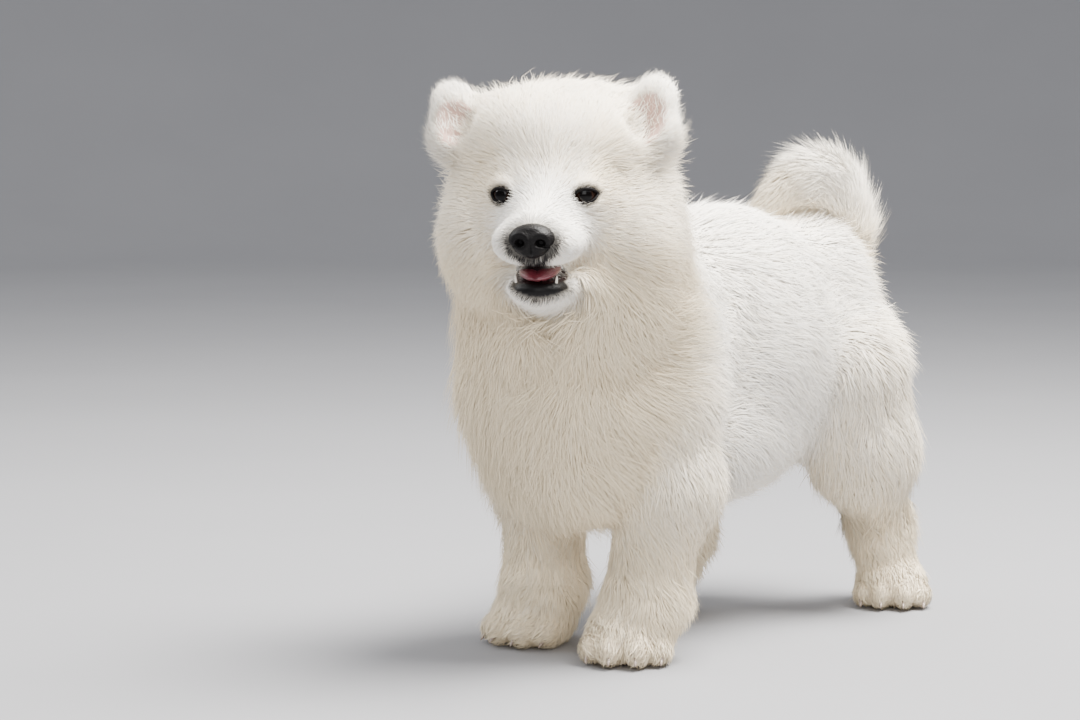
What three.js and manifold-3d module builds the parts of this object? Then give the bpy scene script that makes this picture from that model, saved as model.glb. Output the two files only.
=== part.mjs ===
// A samoyed puppy of about eight weeks, standing, life size, with its head turned to its left.
// Millimetres, +Z up. The puppy faces -Y and its left side is +X. Z = 0 is the floor.
// Every outline runs out to the tips of the coat. The flesh is one smooth field of rounded
// bones, polygonized, then parted into head, trunk, legs and so on by thin cuts.
import * as THREE from "three";
import { mergeVertices } from "three/addons/utils/BufferGeometryUtils.js";
import Module from "manifold-3d";

// Driving dimensions
const MIDLINE = -12;
const BACK_HEIGHT = 233;
const BELLY_HEIGHT = 69;
const CHEST_HALF_WIDTH = 67;
const CHEST_FRONT = -158;
const RUMP_BACK = 138;
const RUMP_HALF_WIDTH = 51;
const STANCE = 35;
const FORELEG_RADIUS = 23;
const HOCK_RADIUS = 19;
const PAW_HALF_WIDTH = 25;
const HIND_PAW_SHARE = 0.93;
const HEAD_TURN = THREE.MathUtils.degToRad(31);
const HEAD_HALF_WIDTH = 60;
const EYE_SPREAD = 19.7;
const EYE_RADIUS = 7.8;
const MUZZLE_LENGTH = 64;
const TAIL_RADIUS = 27;
const GAP = 0.45;

// Sizes of the facets, finer where the shape is finer
const TRUNK_FACET = 20;
const LEG_FACET = 13.5;
const PAW_FACET = 9.2;
const TAIL_FACET = 15;
const HEAD_FACET = 14;
const NECK_FACET = 17;
const MUZZLE_FACET = 8.4;
const EAR_FACET = 7.8;
const NOSE_FACET = 3.6;
const TONGUE_FACET = 5;

const wasm = await Module();
wasm.setup();

const point = (x, y, z) => new THREE.Vector3(x, y, z);

// Fields: each is a function of a point, below zero inside and about a distance outside.

// An ellipsoid, which turn may rotate.
function blob(centre, radii, turn = new THREE.Euler()) {
  const back = new THREE.Quaternion().setFromEuler(turn).invert();
  const local = new THREE.Vector3();
  return (p) => {
    local.copy(p).sub(centre).applyQuaternion(back);
    const near = local.divide(radii).length();
    const steep = local.divide(radii).length();
    return steep < 1e-9 ? -Math.min(radii.x, radii.y, radii.z) : (near * (near - 1)) / steep;
  };
}

// A straight bone with a round section that tapers from one end to the other.
function bone(from, to, fromRadius, toRadius) {
  const along = to.clone().sub(from);
  const square = along.lengthSq();
  const offset = new THREE.Vector3();
  return (p) => {
    const share = THREE.MathUtils.clamp(offset.copy(p).sub(from).dot(along) / square, 0, 1);
    const radius = fromRadius + (toRadius - fromRadius) * share;
    return offset.addScaledVector(along, -share).length() - radius;
  };
}

// A bent bone: a curve through points, with a radius at each.
function bent(stations, steps) {
  const curve = new THREE.CatmullRomCurve3(stations.map((s) => s.at));
  const radii = stations.map((s) => s.radius);
  const radiusAt = (share) => {
    const place = share * (radii.length - 1);
    const first = Math.min(Math.floor(place), radii.length - 2);
    return THREE.MathUtils.lerp(radii[first], radii[first + 1], place - first);
  };
  const bones = [];
  for (let i = 0; i < steps; i++) {
    const [a, b] = [i / steps, (i + 1) / steps];
    bones.push(bone(curve.getPoint(a), curve.getPoint(b), radiusAt(a), radiusAt(b)));
  }
  return (p) => Math.min(...bones.map((one) => one(p)));
}

// The union of fields, with a fillet of about the given size where they meet.
function joined(fillet, ...fields) {
  return (p) =>
    fields.reduce((sum, field) => {
      const value = field(p);
      const near = Math.max(fillet - Math.abs(sum - value), 0) / fillet;
      return Math.min(sum, value) - (near * near * fillet) / 4;
    }, Infinity);
}

// The first field with the second hollowed out of it.
const hollowed = (field, hollow) => (p) => Math.max(field(p), -hollow(p));

const above = (level) => (p) => level - p.z;
const both = (first, second) => (p) => Math.max(first(p), second(p));

// How far a point lies inside a box, below zero outside it.
function depthIn(box, p) {
  const { min, max } = box;
  return Math.min(p.x - min.x, max.x - p.x, p.y - min.y, max.y - p.y, p.z - min.z, max.z - p.z);
}

// A grid cell's corners are numbered 0 to 7 by their bits x, y and z, and an edge of it is its
// lower corner and its axis. A sheet is a set of edges that one piece of the surface crosses.
const CORNERS = Array.from({ length: 8 }, (_, n) => [n & 1, (n >> 1) & 1, n >> 2]);
const CELL_FACES = [0, 1, 2].flatMap((axis) => {
  const [u, v] = [1 << ((axis + 1) % 3), 1 << ((axis + 2) % 3)];
  return [0, 1 << axis].map((side) => [0, u, u | v, v].map((corner) => corner | side));
});
const edgeKey = (first, second) => (first & second) * 8 + (first ^ second);

function sheetsOf(signs) {
  const inside = (corner) => (signs >> corner) & 1;
  let sheets = [];
  for (const face of CELL_FACES)
    for (let i = 0; i < 4; i++) {
      if (!inside(face[i]) || inside(face[(i + 3) % 4])) continue;
      let last = i;
      while (inside(face[(last + 1) % 4])) last++;
      const ends = [
        edgeKey(face[(i + 3) % 4], face[i]),
        edgeKey(face[last % 4], face[(last + 1) % 4]),
      ];
      const touched = sheets.filter((sheet) => ends.some((end) => sheet.has(end)));
      sheets = sheets.filter((sheet) => !touched.includes(sheet));
      sheets.push(new Set([...ends, ...touched.flatMap((sheet) => [...sheet])]));
    }
  return sheets;
}
const SHEETS = Array.from({ length: 256 }, (_, signs) => sheetsOf(signs));

// Polygonizes a field on a grid: one vertex for each sheet of the surface in a cell, moved onto
// the surface, and one square for each grid edge that the surface cuts.
function polygonize(field, box, cell) {
  const count = box.getSize(new THREE.Vector3()).divideScalar(cell).ceil().addScalar(4);
  const [nx, ny, nz] = [count.x, count.y, count.z];
  const low = box.min.clone().subScalar(1.4 * cell);
  const index = (i, j, k) => i + nx * (j + ny * k);
  const values = new Float32Array(nx * ny * nz);
  const p = new THREE.Vector3();
  for (let k = 0; k < nz; k++)
    for (let j = 0; j < ny; j++)
      for (let i = 0; i < nx; i++) {
        p.set(i, j, k).multiplyScalar(cell).add(low);
        values[index(i, j, k)] = Math.max(field(p), -depthIn(box, p));
      }
  const vertexOf = new Map();
  const vertices = [];
  for (let k = 0; k < nz - 1; k++)
    for (let j = 0; j < ny - 1; j++)
      for (let i = 0; i < nx - 1; i++) {
        const at = CORNERS.map(([a, b, c]) => values[index(i + a, j + b, k + c)]);
        const signs = at.reduce((bits, value, n) => bits | ((value < 0) << n), 0);
        for (const sheet of SHEETS[signs]) {
          const vertex = crossingMean(sheet, at).add(p.set(i, j, k)).multiplyScalar(cell).add(low);
          settle(vertex, field, box, cell);
          for (const key of sheet) vertexOf.set(index(i, j, k) * 64 + key, vertices.length / 3);
          vertices.push(vertex.x, vertex.y, vertex.z);
        }
      }
  const faces = [];
  for (let k = 1; k < nz - 1; k++)
    for (let j = 1; j < ny - 1; j++)
      for (let i = 1; i < nx - 1; i++)
        for (let axis = 0; axis < 3; axis++) {
          const [a, b, c] = CORNERS[1 << axis];
          const here = values[index(i, j, k)] < 0;
          if (here === values[index(i + a, j + b, k + c)] < 0) continue;
          const [u, v] = [1 << ((axis + 1) % 3), 1 << ((axis + 2) % 3)];
          const ring = [u | v, v, 0, u].map((corner) => {
            const [x, y, z] = CORNERS[corner];
            return vertexOf.get(index(i - x, j - y, k - z) * 64 + edgeKey(corner, corner | (1 << axis)));
          });
          if (!here) ring.reverse();
          faces.push(ring[0], ring[1], ring[2], ring[0], ring[2], ring[3]);
        }
  const geometry = new THREE.BufferGeometry();
  geometry.setAttribute("position", new THREE.Float32BufferAttribute(vertices, 3));
  geometry.setIndex(faces);
  return geometry;
}

// The mean of the points where the surface crosses a sheet's edges, in a cell of side 1.
function crossingMean(sheet, at) {
  const sum = new THREE.Vector3();
  for (const key of sheet) {
    const lower = key >> 3;
    const upper = lower | (key & 7);
    const share = at[lower] / (at[lower] - at[upper]);
    const start = point(...CORNERS[lower]);
    sum.add(start.lerp(point(...CORNERS[upper]), share));
  }
  return sum.divideScalar(sheet.size);
}

// Moves a vertex onto the field's surface, by at most half a cell.
function settle(vertex, field, box, cell) {
  if (depthIn(box, vertex) < cell) return;
  const start = vertex.clone();
  const probe = new THREE.Vector3();
  const reach = 0.5;
  for (let round = 0; round < 3; round++) {
    const value = field(vertex);
    const slope = new THREE.Vector3();
    for (const axis of ["x", "y", "z"]) {
      const ahead = field(probe.copy(vertex).setComponent("xyz".indexOf(axis), vertex[axis] + reach));
      slope[axis] = (ahead - value) / reach;
    }
    vertex.addScaledVector(slope, -value / Math.max(slope.lengthSq(), 0.25));
  }
  const moved = vertex.clone().sub(start).clampLength(0, cell / 2);
  vertex.copy(start).add(moved);
}

// Solids: closed geometries as manifold solids, and back.

function solidOf(geometry) {
  const mesh = new wasm.Mesh({
    numProp: 3,
    vertProperties: geometry.attributes.position.array,
    triVerts: new Uint32Array(geometry.index.array),
  });
  return new wasm.Manifold(mesh);
}

function geometryOf(solid) {
  const { numProp, vertProperties, triVerts } = solid.getMesh();
  const geometry = new THREE.BufferGeometry();
  const positions = [];
  for (let i = 0; i < vertProperties.length; i += numProp)
    positions.push(...vertProperties.slice(i, i + 3));
  geometry.setAttribute("position", new THREE.Float32BufferAttribute(positions, 3));
  geometry.setIndex([...triVerts]);
  geometry.computeVertexNormals();
  return geometry;
}

// The body that holds most of the volume, without slivers that a cut has left.
const largest = (solid) =>
  solid.decompose().reduce((best, one) => (one.volume() > best.volume() ? one : best));

// A cutter is a closed geometry, kept with a copy grown by the gap that its neighbours keep.
function cutter(geometry) {
  const bare = geometry.clone();
  bare.deleteAttribute("normal");
  bare.deleteAttribute("uv");
  const whole = mergeVertices(bare, 1e-3);
  whole.computeVertexNormals();
  const grown = whole.clone();
  const [at, out] = [grown.attributes.position, grown.attributes.normal];
  for (let i = 0; i < at.count; i++)
    at.setXYZ(
      i,
      at.getX(i) + GAP * out.getX(i),
      at.getY(i) + GAP * out.getY(i),
      at.getZ(i) + GAP * out.getZ(i),
    );
  return { own: solidOf(whole), clearance: solidOf(grown) };
}

// A box from its two corners, in a frame of its own.
function boxCutter(low, high, frame = new THREE.Matrix4()) {
  const size = high.clone().sub(low);
  const middle = low.clone().add(high).multiplyScalar(0.5);
  const box = new THREE.BoxGeometry(size.x, size.y, size.z);
  return cutter(box.translate(middle.x, middle.y, middle.z).applyMatrix4(frame));
}

// The head has a frame of its own: left, behind and up from the middle of the skull.
const headCentre = point(8, -142, 240);
const headFrame = new THREE.Matrix4()
  .makeTranslation(headCentre)
  .multiply(new THREE.Matrix4().makeRotationZ(HEAD_TURN));
const inHead = (left, ahead, up) => point(left, -ahead, up).applyMatrix4(headFrame);
const headTurn = (x = 0, y = 0, z = 0) => {
  const own = new THREE.Quaternion().setFromEuler(new THREE.Euler(x, y, z));
  const turned = new THREE.Quaternion().setFromRotationMatrix(headFrame).multiply(own);
  return new THREE.Euler().setFromQuaternion(turned);
};
const headBlob = (left, ahead, up, radii, ...turn) =>
  blob(inHead(left, ahead, up), radii, headTurn(...turn));
const SIDES = { left: 1, right: -1 };

// Trunk: rib cage, loin and rump, with the fluff of the forechest and the neck's ruff

const middleHeight = (BACK_HEIGHT + BELLY_HEIGHT) / 2;
const trunkHalfHeight = (BACK_HEIGHT - BELLY_HEIGHT) / 2;
const ribCage = blob(
  point(MIDLINE, CHEST_FRONT + 74, middleHeight),
  point(CHEST_HALF_WIDTH, 72, trunkHalfHeight + 1),
);
const loin = blob(
  point(MIDLINE, 10, middleHeight + 2),
  point(CHEST_HALF_WIDTH - 7, 96, trunkHalfHeight - 2),
);
const rump = blob(
  point(MIDLINE, RUMP_BACK - 56, middleHeight + 5),
  point(RUMP_HALF_WIDTH, 56, trunkHalfHeight - 7),
);
const forechest = blob(point(MIDLINE, CHEST_FRONT + 36, 146), point(57, 42, 64));
const brisket = blob(point(MIDLINE, -108, 106), point(50, 40, 36));
const underline = blob(point(MIDLINE, -20, 108), point(52, 76, 42));
const nape = blob(point(MIDLINE + 2, -100, 182), point(66, 46, 62));
const ruff = blob(point(-4, -124, 188), point(66, 44, 44));
const trunk = joined(18, ribCage, loin, rump, forechest, brisket, underline, nape, ruff);

// Legs: each is its bones, with a radius out to the tips of the coat

const leftSide = MIDLINE + STANCE;
const rightSide = MIDLINE - STANCE;
const leftFore = {
  elbow: point(leftSide + 5, -82, 94),
  wrist: point(leftSide + 2, -90, 32),
  paw: point(leftSide - 2, -101, 0),
  toeTurn: 0.6,
};
const rightFore = {
  elbow: point(rightSide - 3, -84, 94),
  wrist: point(rightSide + 1, -89, 32),
  paw: point(rightSide - 3, -96, 0),
  toeTurn: 0.1,
};
const leftHind = {
  hip: point(leftSide - 5, 86, 140),
  stifle: point(leftSide + 3, 96, 96),
  hock: point(leftSide - 6, 128, 50),
  ankle: point(leftSide - 1, 130, 22),
  paw: point(leftSide + 6, 125, 0),
  toeTurn: 0.6,
};
const rightHind = {
  hip: point(rightSide + 5, 72, 140),
  stifle: point(rightSide - 3, 36, 98),
  hock: point(rightSide - 3, 32, 50),
  ankle: point(rightSide - 4, 16, 22),
  paw: point(rightSide - 5, 4, 0),
  toeTurn: -0.1,
};

function foreleg({ elbow, wrist, paw }) {
  const top = point(MIDLINE + (elbow.x - MIDLINE) * 0.8, elbow.y, 130);
  const shoulder = bone(top, elbow, 36, FORELEG_RADIUS + 9);
  const forearm = bone(elbow, wrist, FORELEG_RADIUS + 8, FORELEG_RADIUS - 1);
  const pastern = bone(wrist, point(paw.x, paw.y + 4, 18), FORELEG_RADIUS - 1, FORELEG_RADIUS - 3);
  return joined(12, shoulder, forearm, pastern);
}

function hindleg({ hip, stifle, hock, ankle }) {
  const thigh = bone(hip, stifle, HOCK_RADIUS + 22, HOCK_RADIUS + 15);
  const shank = bone(stifle, hock, HOCK_RADIUS + 14, HOCK_RADIUS + 1);
  const metatarsus = bone(hock, ankle, HOCK_RADIUS, HOCK_RADIUS);
  return joined(14, thigh, shank, metatarsus);
}

// A paw: a low pad with four round toes, two ahead and two beside them
function pawField({ paw, toeTurn }, share) {
  const frame = new THREE.Matrix4()
    .makeTranslation(paw)
    .multiply(new THREE.Matrix4().makeRotationZ(toeTurn));
  const turn = new THREE.Euler(0, 0, toeTurn);
  const half = PAW_HALF_WIDTH * share;
  const part = (side, ahead, up, radii) =>
    blob(
      point(side * half, -ahead * half, up * half).applyMatrix4(frame),
      radii.clone().multiplyScalar(half),
      turn,
    );
  const pad = part(0, -0.1, 0.5, point(0.9, 0.95, 0.68));
  const toes = [];
  for (const side of [-1, 1]) {
    toes.push(part(0.27 * side, 0.62, 0.36, point(0.3, 0.46, 0.4)));
    toes.push(part(0.7 * side, 0.3, 0.33, point(0.3, 0.46, 0.37)));
  }
  return joined(half * 0.14, pad, ...toes);
}

const legs = {
  foreleg_left: { joints: leftFore, build: foreleg, share: 1 },
  foreleg_right: { joints: rightFore, build: foreleg, share: 1 },
  hindleg_left: { joints: leftHind, build: hindleg, share: HIND_PAW_SHARE },
  hindleg_right: { joints: rightHind, build: hindleg, share: HIND_PAW_SHARE },
};
const legsAndPaws = Object.values(legs).map(({ joints, build, share }) =>
  joined(9, build(joints), pawField(joints, share)),
);

// Tail: carried up from the rump and curled forward over the back

const tailStations = [
  { at: point(MIDLINE + 3, 104, 184), radius: 22 },
  { at: point(MIDLINE + 8, 113, 210), radius: TAIL_RADIUS - 1 },
  { at: point(MIDLINE + 8, 101, 237), radius: TAIL_RADIUS },
  { at: point(MIDLINE, 80, 237), radius: TAIL_RADIUS - 4 },
  { at: point(MIDLINE - 6, 64, 226), radius: TAIL_RADIUS - 9 },
];
const tail = bent(tailStations, 12);

// Head: skull and forehead, the cheeks' fluff, muzzle and lower jaw

const skull = headBlob(0, -22, 2, point(HEAD_HALF_WIDTH, 52, 54));
const crown = headBlob(0, -18, 27, point(HEAD_HALF_WIDTH + 2, 42, 30));
const cheeks = Object.values(SIDES).map((side) =>
  headBlob(34 * side, -18, -24, point(32, 43, 38)),
);
const throat = headBlob(0, -10, -42, point(46, 36, 22));
const muzzleBridge = bone(inHead(0, 8, -11), inHead(0, MUZZLE_LENGTH - 17, -21), 23, 13.5);
const lips = Object.values(SIDES).map((side) =>
  headBlob(9.5 * side, MUZZLE_LENGTH - 23, -24, point(13.5, 20, 11)),
);
const chin = headBlob(0, MUZZLE_LENGTH - 33, -46.5, point(18, 22.5, 10.5));
const face = joined(
  9,
  joined(12, skull, crown, ...cheeks, throat),
  joined(5, muzzleBridge, ...lips),
  chin,
);

// Ears: small rounded triangles, each with a soft cup cut in its front. The right one is let out.
const earTurn = (side) => [-0.18, 0.42 * side, -0.35 * side];
const EAR_OUT = { left: 0, right: 3.5 };
const EAR_DOWN = { left: 1.5, right: 4.5 };
const earFields = Object.entries(SIDES).map(([name, side]) => {
  const [out, down] = [EAR_OUT[name], EAR_DOWN[name]];
  return joined(
    8,
    headBlob((44.5 + out) * side, -6, 35.5 - down, point(19.5, 10, 17), ...earTurn(side)),
    headBlob((49 + out) * side, -6, 48 - down, point(12, 8, 12.5), ...earTurn(side)),
  );
});

// The whole puppy as one field, its mouth shut, without eyes and nose
const flesh = joined(
  8,
  joined(18, trunk, face),
  joined(14, trunk, ...legsAndPaws),
  tail,
  ...earFields,
);
const puppy = both(flesh, above(0));

// Pieces

const pieces = new Map();
const COAT_WHITE = { color: 0xeee8df, roughness: 0.9, metalness: 0 };
const WET_BLACK = { color: 0x14110f, roughness: 0.35, metalness: 0 };
const EYE_BROWN = { color: 0x120b08, roughness: 0.06, metalness: 0 };
const TONGUE_RED = { color: 0x9c4a50, roughness: 0.45, metalness: 0 };

function keep(name, solid, look) {
  pieces.set(name, { solid: largest(solid), look });
}

const boundsOf = (cut) => {
  const { min, max } = cut.own.boundingBox();
  return new THREE.Box3(point(...min), point(...max));
};

// A piece of the flesh: what lies in its cutter, without the solids that are taken from it.
function part(name, cut, facet, taken) {
  const box = boundsOf(cut).expandByScalar(facet * 2);
  box.min.z = Math.max(box.min.z, -facet);
  const solid = solidOf(polygonize(puppy, box, facet)).intersect(cut.own);
  keep(name, taken.reduce((left, other) => left.subtract(other), solid), COAT_WHITE);
}

// A field as a solid, inside a box round its middle
function solidField(field, middle, size, facet) {
  const box = new THREE.Box3().setFromCenterAndSize(middle, size);
  return cutter(polygonize(field, box, facet));
}

// The eyes, the nose and the tongue stand free, and the flesh is cut clear of them.
const eyes = Object.entries(SIDES).map(([name, side]) => {
  const ball = new THREE.SphereGeometry(EYE_RADIUS, 14, 9);
  const centre = inHead(EYE_SPREAD * side, 23.5, -1);
  const eye = cutter(ball.translate(centre.x, centre.y, centre.z));
  keep(`eye_${name}`, eye.own, EYE_BROWN);
  return eye;
});

const noseBall = headBlob(0, MUZZLE_LENGTH - 6, -22, point(10.8, 8.5, 8.2), 0.15);
const nostrils = Object.values(SIDES).map((side) =>
  headBlob(5.2 * side, MUZZLE_LENGTH + 2.2, -23, point(2.6, 3.4, 2.2), 0, 0, 0.5 * side),
);
const noseField = hollowed(noseBall, joined(1, ...nostrils));
const noseMiddle = inHead(0, MUZZLE_LENGTH - 6, -22);
const nose = solidField(noseField, noseMiddle, point(30, 30, 24), NOSE_FACET);
keep("nose", nose.own, WET_BLACK);

// The mouth is a shallow smile, open at the front, with the tongue sloping down in it.
const mouthMiddle = inHead(0, MUZZLE_LENGTH - 21, -38);
const mouthField = headBlob(0, MUZZLE_LENGTH - 21, -38, point(15.5, 24, 4.8), -0.04);
const mouth = solidField(mouthField, mouthMiddle, point(60, 60, 24), TONGUE_FACET);
const tongueMiddle = inHead(0, MUZZLE_LENGTH - 24, -39.2);
const tongueField = headBlob(0, MUZZLE_LENGTH - 24, -39.2, point(9.6, 14, 2.6), 0.26);
const tongue = solidField(tongueField, tongueMiddle, point(44, 44, 16), TONGUE_FACET);
keep("tongue", tongue.own, TONGUE_RED);

const headPoint = (left, ahead, up) => point(left, -ahead, up);
const jawCutter = boxCutter(headPoint(-27, 90, -60), headPoint(27, 18, -38), headFrame);
const muzzleCutter = boxCutter(headPoint(-29, 90, -38 + GAP), headPoint(29, 30, -8), headFrame);
const noseAndMouth = [nose.clearance, mouth.own];
part("lower_jaw", jawCutter, MUZZLE_FACET, [...noseAndMouth, tongue.clearance]);
part("muzzle", muzzleCutter, MUZZLE_FACET, noseAndMouth);

// Two lower canine teeth stand up from the jaw beside the tongue.
for (const side of Object.values(SIDES)) {
  const tooth = new THREE.ConeGeometry(1.3, 8, 8).rotateX(Math.PI / 2);
  const root = inHead(11.2 * side, MUZZLE_LENGTH - 18, -42);
  const canine = cutter(tooth.translate(root.x, root.y, root.z));
  const jaw = pieces.get("lower_jaw");
  jaw.solid = jaw.solid.add(canine.own);
}

const earCutters = Object.entries(SIDES).map(([name, side]) => {
  const ball = new THREE.SphereGeometry(23, 12, 8);
  const [out, down] = [EAR_OUT[name], EAR_DOWN[name]];
  const centre = inHead((53 + out) * side, -5, 49 - down);
  const cut = cutter(ball.translate(centre.x, centre.y, centre.z));
  const cupMiddle = [(46 + out) * side, 7, 41.5 - down];
  const cupField = headBlob(...cupMiddle, point(11, 9, 13.5), ...earTurn(side));
  const cup = solidField(cupField, inHead(...cupMiddle), point(50, 50, 50), EAR_FACET);
  part(`ear_${name}`, cut, EAR_FACET, [cup.own]);
  return cut;
});

const headCutter = boxCutter(headPoint(-90, 100, -60.5), headPoint(90, -52, 90), headFrame);
const faceCutters = [jawCutter, muzzleCutter, ...earCutters];
const faceHollows = [...eyes, nose, mouth, ...faceCutters].map((one) => one.clearance);
part("head", headCutter, HEAD_FACET, faceHollows);

// The tail's cutter is its own tube, a little fatter, cut in two lengths where it bends over.
const aroundTail = new THREE.Box3(point(-70, 10, 170), point(50, 180, 290));
const tailStationsGrown = tailStations.map(({ at, radius }) => ({ at, radius: radius + 2 }));
const tailOwn = both(bent(tailStationsGrown, 12), above(184));
const tailCutter = cutter(polygonize(tailOwn, aroundTail, TAIL_FACET));
const rootBox = boxCutter(point(-80, 92, 150), point(60, 200, 216));
const tailSolid = solidOf(polygonize(puppy, aroundTail, TAIL_FACET)).intersect(tailCutter.own);
keep("tail_root", tailSolid.intersect(rootBox.own), COAT_WHITE);
keep("tail_curl", tailSolid.subtract(rootBox.clearance), COAT_WHITE);

// Legs and paws. A leg is cut out by its side view, pressed through the body from the midline
// outwards: an arch over the shoulder or thigh, then down to the wrist or ankle.
const PAW_TOP = 25;
const MIDLINE_MARGIN = 3;

// A cutter from stations of y, z and half length, pressed from one x to another.
function sideCutter(stations, low, high) {
  const front = stations.map(([y, z, half]) => new THREE.Vector2(y - half, z));
  const back = stations.map(([y, z, half]) => new THREE.Vector2(y + half, z));
  const shape = new THREE.Shape([...front, ...back.reverse()]);
  const geometry = new THREE.ExtrudeGeometry(shape, { depth: high - low, bevelEnabled: false });
  const axes = new THREE.Matrix4().makeBasis(point(0, 1, 0), point(0, 0, 1), point(1, 0, 0));
  return cutter(geometry.applyMatrix4(axes).translate(low, 0, 0));
}

const foreStations = ({ elbow, wrist }) => [
  [elbow.y, 128, 14],
  [elbow.y, 120, 30],
  [elbow.y, 102, 40],
  [elbow.y, 84, 39],
  [wrist.y, wrist.z + 8, 31],
  [wrist.y - 2, PAW_TOP + GAP, 33],
];
const hindStations = ({ hip, stifle, hock, ankle }) => [
  [hip.y, 150, 16],
  [hip.y, 142, 34],
  [hip.y, 124, 46],
  [stifle.y, stifle.z, 48],
  [(stifle.y + hock.y) / 2, (stifle.z + hock.z) / 2, 48],
  [hock.y, hock.z, 38],
  [ankle.y, PAW_TOP + GAP, 36],
];

const legCutters = [];
for (const [name, { joints }] of Object.entries(legs)) {
  const stations = joints.elbow ? foreStations(joints) : hindStations(joints);
  const [low, high] = name.endsWith("left")
    ? [MIDLINE + MIDLINE_MARGIN, MIDLINE + 110]
    : [MIDLINE - 110, MIDLINE - MIDLINE_MARGIN];
  const leg = sideCutter(stations, low, high);
  const [front, back] = [joints.paw.y - 44, joints.paw.y + 44];
  const paw = boxCutter(point(low, front, -10), point(high, back, PAW_TOP));
  part(name.replace("leg", "paw"), paw, PAW_FACET, []);
  part(name, leg, LEG_FACET, []);
  legCutters.push(paw, leg);
}

// The neck reaches from a slanting cut across the withers and the forechest up to the head.
const neckFrame = new THREE.Matrix4()
  .makeTranslation(0, -116, 194)
  .multiply(new THREE.Matrix4().makeRotationX(Math.PI / 4));
const clearOf = (...cutters) => cutters.map((one) => one.clearance);
const neckCutter = boxCutter(point(-130, -140, 0), point(120, 140, 150), neckFrame);
part("neck", neckCutter, NECK_FACET, clearOf(headCutter, ...faceCutters));

const trunkCutter = boxCutter(point(-130, -220, 30), point(120, 200, 290));
const trunkNeighbours = clearOf(neckCutter, headCutter, jawCutter, tailCutter, ...legCutters);
part("trunk", trunkCutter, TRUNK_FACET, trunkNeighbours);

// The group: one mesh for each piece, standing over the middle of its bounding box
const group = new THREE.Group();
for (const [name, { solid, look }] of pieces) {
  const mesh = new THREE.Mesh(geometryOf(solid), new THREE.MeshStandardMaterial(look));
  mesh.name = name;
  group.add(mesh);
}
const around = new THREE.Box3().setFromObject(group);
const middle = around.getCenter(new THREE.Vector3());
group.position.set(-middle.x, -middle.y, -around.min.z);

export default group;
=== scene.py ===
"""A samoyed puppy of about eight weeks, standing, as a life-size museum model: skin, face, claws and coat."""

import math
from contextlib import contextmanager

import bpy
import numpy as np
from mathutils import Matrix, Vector
from mathutils.kdtree import KDTree


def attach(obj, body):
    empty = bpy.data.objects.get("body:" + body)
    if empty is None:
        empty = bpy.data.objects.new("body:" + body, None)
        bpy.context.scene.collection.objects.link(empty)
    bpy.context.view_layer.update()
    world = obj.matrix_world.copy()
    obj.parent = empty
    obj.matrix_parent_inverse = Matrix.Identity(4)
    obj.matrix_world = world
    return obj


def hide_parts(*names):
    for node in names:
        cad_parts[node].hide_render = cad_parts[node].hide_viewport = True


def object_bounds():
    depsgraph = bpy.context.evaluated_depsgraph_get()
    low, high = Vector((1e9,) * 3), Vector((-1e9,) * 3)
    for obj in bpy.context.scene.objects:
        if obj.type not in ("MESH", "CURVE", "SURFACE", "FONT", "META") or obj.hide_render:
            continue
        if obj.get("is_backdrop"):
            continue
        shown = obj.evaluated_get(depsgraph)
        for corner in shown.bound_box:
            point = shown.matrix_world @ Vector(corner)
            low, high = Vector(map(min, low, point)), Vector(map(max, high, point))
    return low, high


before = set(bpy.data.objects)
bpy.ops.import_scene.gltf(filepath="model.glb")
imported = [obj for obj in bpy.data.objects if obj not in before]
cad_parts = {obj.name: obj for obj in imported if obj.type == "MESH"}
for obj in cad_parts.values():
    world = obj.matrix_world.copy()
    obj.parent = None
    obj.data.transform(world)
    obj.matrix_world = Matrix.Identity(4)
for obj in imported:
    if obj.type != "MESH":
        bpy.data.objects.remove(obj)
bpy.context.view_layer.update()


# Body: the skin under the coat, one surface from the nose to the tail. It is moulded on the solids
# of the flesh, let down by the depth of the coat that stands on it. Sizes are in millimetres from
# a point on the floor that the frame's origin lies beside.

FRAME_SHIFT = np.array([10.345, 25.099, 0.0])
MIDLINE = -12.0


def to_frame(points):
    return (points + FRAME_SHIFT) * 0.001


def from_frame(points):
    return points * 1000.0 - FRAME_SHIFT


def length(vectors):
    return np.sqrt((vectors * vectors).sum(-1))


def unit(vectors):
    return vectors / np.maximum(length(vectors), 1e-9)[..., None]


def rise(value, low, high):
    """0 below low, 1 above high, and smooth between them."""
    share = np.clip((value - low) / (high - low), 0.0, 1.0)
    return share * share * (3.0 - 2.0 * share)


def turned(x=0.0, y=0.0, z=0.0):
    """A turn about x, then y, then z, in radians."""
    cx, cy, cz = math.cos(x), math.cos(y), math.cos(z)
    sx, sy, sz = math.sin(x), math.sin(y), math.sin(z)
    about_x = np.array([[1, 0, 0], [0, cx, -sx], [0, sx, cx]])
    about_y = np.array([[cy, 0, sy], [0, 1, 0], [-sy, 0, cy]])
    about_z = np.array([[cz, -sz, 0], [sz, cz, 0], [0, 0, 1]])
    return about_x @ about_y @ about_z


def blob(centre, radii, turn=np.eye(3)):
    """How far points lie from an ellipsoid, below zero inside it."""
    centre, radii = np.array(centre, float), np.array(radii, float)

    def field(points):
        local = (points - centre) @ turn / radii
        near = length(local)
        steep = np.maximum(length(local / radii), 1e-9)
        return near * (near - 1.0) / steep

    return field


def bone(start, end, start_radius, end_radius):
    """How far points lie from a straight bone that tapers."""
    start, along = np.array(start, float), np.array(end, float) - np.array(start, float)

    def field(points):
        share = np.clip((points - start) @ along / (along @ along), 0.0, 1.0)
        off_line = length(points - start - share[:, None] * along)
        return off_line - start_radius - (end_radius - start_radius) * share

    return field


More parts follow.
